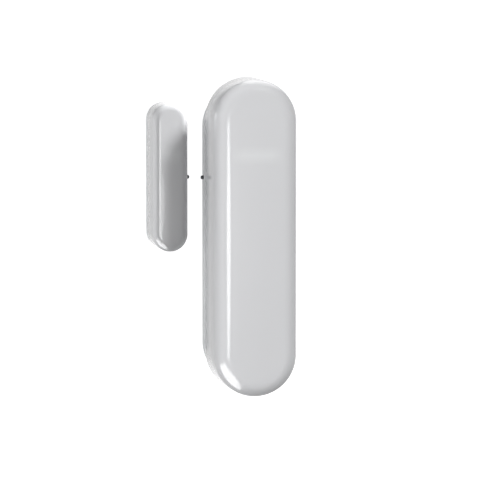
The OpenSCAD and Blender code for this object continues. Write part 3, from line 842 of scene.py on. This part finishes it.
def makeCanCapacitor(shape):
    # a drawn can with a groove, a square foot and a dark stripe on its top
    r, base = (canBox.width - shape["footRoom"]) / 2, canBox.back + shape["footDepth"]
    height = canBox.front - base
    can = [(0, 0), (r - 0.3, 0), (r - 0.1, 0.1), (r, 0.3), (r, 1.2), (r - 0.22, 1.4), (r - 0.22, 1.6), (r, 1.8),
           (r, height - 0.35), (r - 0.1, height - 0.1), (r - 0.35, height), (0, height)]
    canMesh = lathe(can, shape["segments"], at=(canBox.x, canBox.y, base))
    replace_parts(addPiece("can", canMesh, "buffer_capacitor"), "buffer_capacitor")
    foot = bmesh.new()
    addBlock(foot, canBox.left, canBox.right, canBox.low, canBox.high, canBox.back, base)
    foot.transform(standing)
    roundEdges(addPiece("can_foot", meshFrom(foot, "can foot"), "buffer_capacitor", "holder_black"), 0.2, 2)
    disc = lathe([(0, 0), (r - 0.45, 0), (r - 0.45, 0.02), (0, 0.02)], shape["segments"],
                 at=(canBox.x, canBox.y, canBox.front - 0.012))
    bm = bmesh.new()
    bm.from_mesh(disc)
    edgeOfStripe = standing @ Vector((canBox.x + shape["stripeFrom"], 0, 0))
    cut = bmesh.ops.bisect_plane(bm, geom=[*bm.verts, *bm.edges, *bm.faces], plane_co=edgeOfStripe,
                                 plane_no=(-1, 0, 0), clear_outer=True)
    bmesh.ops.holes_fill(bm, edges=[e for e in cut["geom_cut"] if isinstance(e, bmesh.types.BMEdge)])
    addPiece("can_stripe", meshFrom(bm, "can stripe"), "buffer_capacitor", "chip_black")


makeCanCapacitor(canShape)
softCopy("tamper_body", "tamper_case", 0.15, 2)
softCopy("pairing_body", "pairing_switch", 0.12, 2)


def makeRod(name, node, edge):
    place = nodeBox(node)
    mesh = lathe(roundedRod(place.width / 2, place.depth, edge), 40, at=(place.x, place.y, place.back))
    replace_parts(addPiece(name, mesh, node), node)


makeRod("tamper_pin", "tamper_plunger", 0.25)
makeRod("pairing_key", "pairing_button", 0.2)
makeRod("light_rod", "light_guide", 0.15)
softCopy("led_body", "status_led", 0.06, 1)
lens = lathe([(0, 0), (0.34, 0), (0.3, 0.12), (0.18, 0.2), (0, 0.23)], 24,
             at=(ledBox.x, ledBox.y, ledBox.front - 0.01))
addPiece("led_dome", lens, "status_led", "led_lens")
print("board parts made")


tubeShape = {"wall": 0.28, "end": 0.75, "lead": 0.25}


def makeReed(shape):
    # a glass tube melted shut round the leads, hollow in the middle
    tube = nodeBox("reed_glass")
    r, n, w, end, lead = tube.width / 2, tube.length, shape["wall"], shape["end"], shape["lead"]
    outer = [(lead, 0.12), (0.4, 0.05)]
    outer += [(r - end + end * math.sin(math.radians(a)), end + 0.05 - end * math.cos(math.radians(a)))
              for a in range(15, 91, 15)]
    outer += [(x, n - y) for x, y in reversed(outer)]
    bore = [(lead, 1.25), (r - w - 0.2, 1.4), (r - w, 1.7)]
    profile = [*outer, *[(x, n - y) for x, y in bore], *reversed(bore), outer[0]]
    mesh = lathe(profile, 40, "up", (tube.x, tube.low, tube.z))
    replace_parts(addPiece("reed_tube", mesh, "reed_glass"), "reed_glass")


makeReed(tubeShape)
softCopy("reed_fixed", "reed_fixed_lead", 0.02, 1)
softCopy("reed_blade", "reed_moving_blade", 0.02, 1)
softCopy("reed_far", "reed_far_lead", 0.02, 1)
print("reed switch made")


studio = {
    "floorDepth": 0.16,         # how far the floor lies below the sensor's centre
    "floorSize": 20,
    "floorColor": (0.9, 0.9, 0.9, 1),
    "floorRoughness": 0.9,
    "glow": (0.08, 0.28, 0.9),   # under the object, all round it and in the white part behind it
    "glowReach": (0.3, 0.6),
    "backdrop": (0.97, 0.90),   # where the white part ends, as the cosine of the angle from its middle
    "backdropTo": (0.326, 0.946),
    "world": 0.09,
    "horizon": (0.52, 0.25),     # how bright the world is at the horizon, and how high that reaches
    "lights": {
        "sensor key": {"azimuth": 28, "elevation": 41, "distance": 0.9, "size": (0.4, 0.4), "power": 6.65,
                       "lit": "sensor", "use": "shading"},
        "sensor fill": {"azimuth": -62, "elevation": 14, "distance": 0.9, "size": (0.6, 0.6), "power": 5.7,
                        "lit": "sensor", "use": "shading", "past": "magnet"},
        "sensor low": {"azimuth": -50, "elevation": -55, "distance": 0.17, "size": (0.2, 0.2), "power": 0.09,
                       "lit": "sensor", "use": "shading", "past": "magnet"},
        "magnet key": {"azimuth": 70, "elevation": 43, "distance": 0.7, "size": (0.16, 0.16), "power": 13.2,
                       "lit": "magnet"},
        "magnet fill": {"azimuth": -82, "elevation": 5, "distance": 0.9, "size": (0.6, 0.6), "power": 8.3,
                        "lit": "magnet", "use": "shading"},
        "front box": {"azimuth": -6, "elevation": -5.15, "distance": 0.8, "size": (0.34, 0.115), "power": 0.79,
                      "shape": "ELLIPSE", "use": "shine"},
        "low box": {"azimuth": -46, "elevation": -32, "distance": 0.291, "size": (0.285, 0.34), "power": 2.3,
                    "use": "shine", "facing": (0, 0, -1)},
        "back box": {"azimuth": 150, "elevation": 60, "distance": 1.0, "size": (0.9, 0.9), "power": 4},
    },
}


def litGroup(part):
    # the objects of one unit, for the lights that shine on that unit only
    group = bpy.data.collections.new(part + " lit")
    for obj in scene.objects:
        if obj.type == "MESH" and obj.name != "floor":
            rightmost = max((obj.matrix_world @ Vector(c)).x for c in obj.bound_box)
            if (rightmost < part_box("magnet_mark")[1].x) == (part == "magnet"):
                group.objects.link(obj)
    return group


def addSoftbox(name, light, groups):
    a, e = math.radians(light["azimuth"]), math.radians(light["elevation"])
    back = Vector((math.sin(a) * math.cos(e), -math.cos(a) * math.cos(e), math.sin(e)))
    data = bpy.data.lights.new(name, "AREA")
    data.shape = light.get("shape", "RECTANGLE")
    data.size, data.size_y = light["size"]
    data.energy = light["power"]
    obj = bpy.data.objects.new(name, data)
    scene.collection.objects.link(obj)
    obj.location = back * light["distance"]
    obj.rotation_euler = Vector(light.get("facing", back)).to_track_quat("Z", "Y").to_euler()
    obj.visible_camera = False
    obj.visible_diffuse = light.get("use") != "shine"
    obj.visible_glossy = light.get("use") != "shading"
    if "lit" in light:
        obj.light_linking.receiver_collection = groups[light["lit"]]
    if "past" in light:
        # this one shines past the other unit
        obj.light_linking.blocker_collection = groups[light["lit"]]


def whiteWedge(tree, place, room):
    # 1 in the directions behind the object, 0 elsewhere
    flat = addNode(tree, "ShaderNodeVectorMath", {0: place, 1: (1, 1, 0)}, operation="MULTIPLY").outputs[0]
    unit = addNode(tree, "ShaderNodeVectorMath", {0: flat}, operation="NORMALIZE").outputs[0]
    middle = (*room["backdropTo"], 0)
    facing = addNode(tree, "ShaderNodeVectorMath", {0: unit, 1: middle}, operation="DOT_PRODUCT").outputs["Value"]
    return remap(tree, facing, room["backdrop"][1], room["backdrop"][0], 0, 1)


def makeFloor(room):
    bm = bmesh.new()
    bmesh.ops.create_grid(bm, x_segments=1, y_segments=1, size=room["floorSize"])
    bm.transform(Matrix.Translation((0, 0, -room["floorDepth"])))
    mesh = meshFrom(bm, "floor")
    floor = bpy.data.objects.new("floor", mesh)
    scene.collection.objects.link(floor)
    mat = bpy.data.materials.new("floor paper")
    mat.use_nodes = True
    tree = mat.node_tree
    paper = tree.nodes["Principled BSDF"].inputs
    paper["Base Color"].default_value = room["floorColor"]
    paper["Roughness"].default_value = room["floorRoughness"]
    paper["Emission Color"].default_value = (1, 1, 1, 1)
    place = tree.nodes.new("ShaderNodeTexCoord").outputs["Object"]
    reach = addNode(tree, "ShaderNodeVectorMath", {0: place}, operation="LENGTH").outputs["Value"]
    near, around, white = room["glow"]
    behind = remap(tree, whiteWedge(tree, place, room), 0, 1, around, white)
    far = remap(tree, reach, *room["glowReach"], 0, 1)
    glow = addNode(tree, "ShaderNodeMapRange", {"Value": far, "To Min": near, "To Max": behind}).outputs[0]
    tree.links.new(glow, paper["Emission Strength"])
    mesh.materials.append(mat)


def makeStudio(room):
    world = bpy.data.worlds.new("studio")
    world.use_nodes = True
    sky = world.node_tree
    toward = sky.nodes.new("ShaderNodeTexCoord").outputs["Generated"]
    height = addNode(sky, "ShaderNodeSeparateXYZ", {0: toward}).outputs[2]
    dusk = remap(sky, height, 0, room["horizon"][1], room["horizon"][0], room["world"])
    level = remap(sky, whiteWedge(sky, toward, room), 0, 1, dusk, 1)
    sky.nodes["Background"].inputs["Color"].default_value = (1, 1, 1, 1)
    sky.links.new(level, sky.nodes["Background"].inputs["Strength"])
    scene.world = world
    groups = {part: litGroup(part) for part in ("sensor", "magnet")}
    makeFloor(room)
    for name, light in room["lights"].items():
        addSoftbox(name, light, groups)
    scene.view_settings.view_transform = "Standard"


makeStudio(studio)
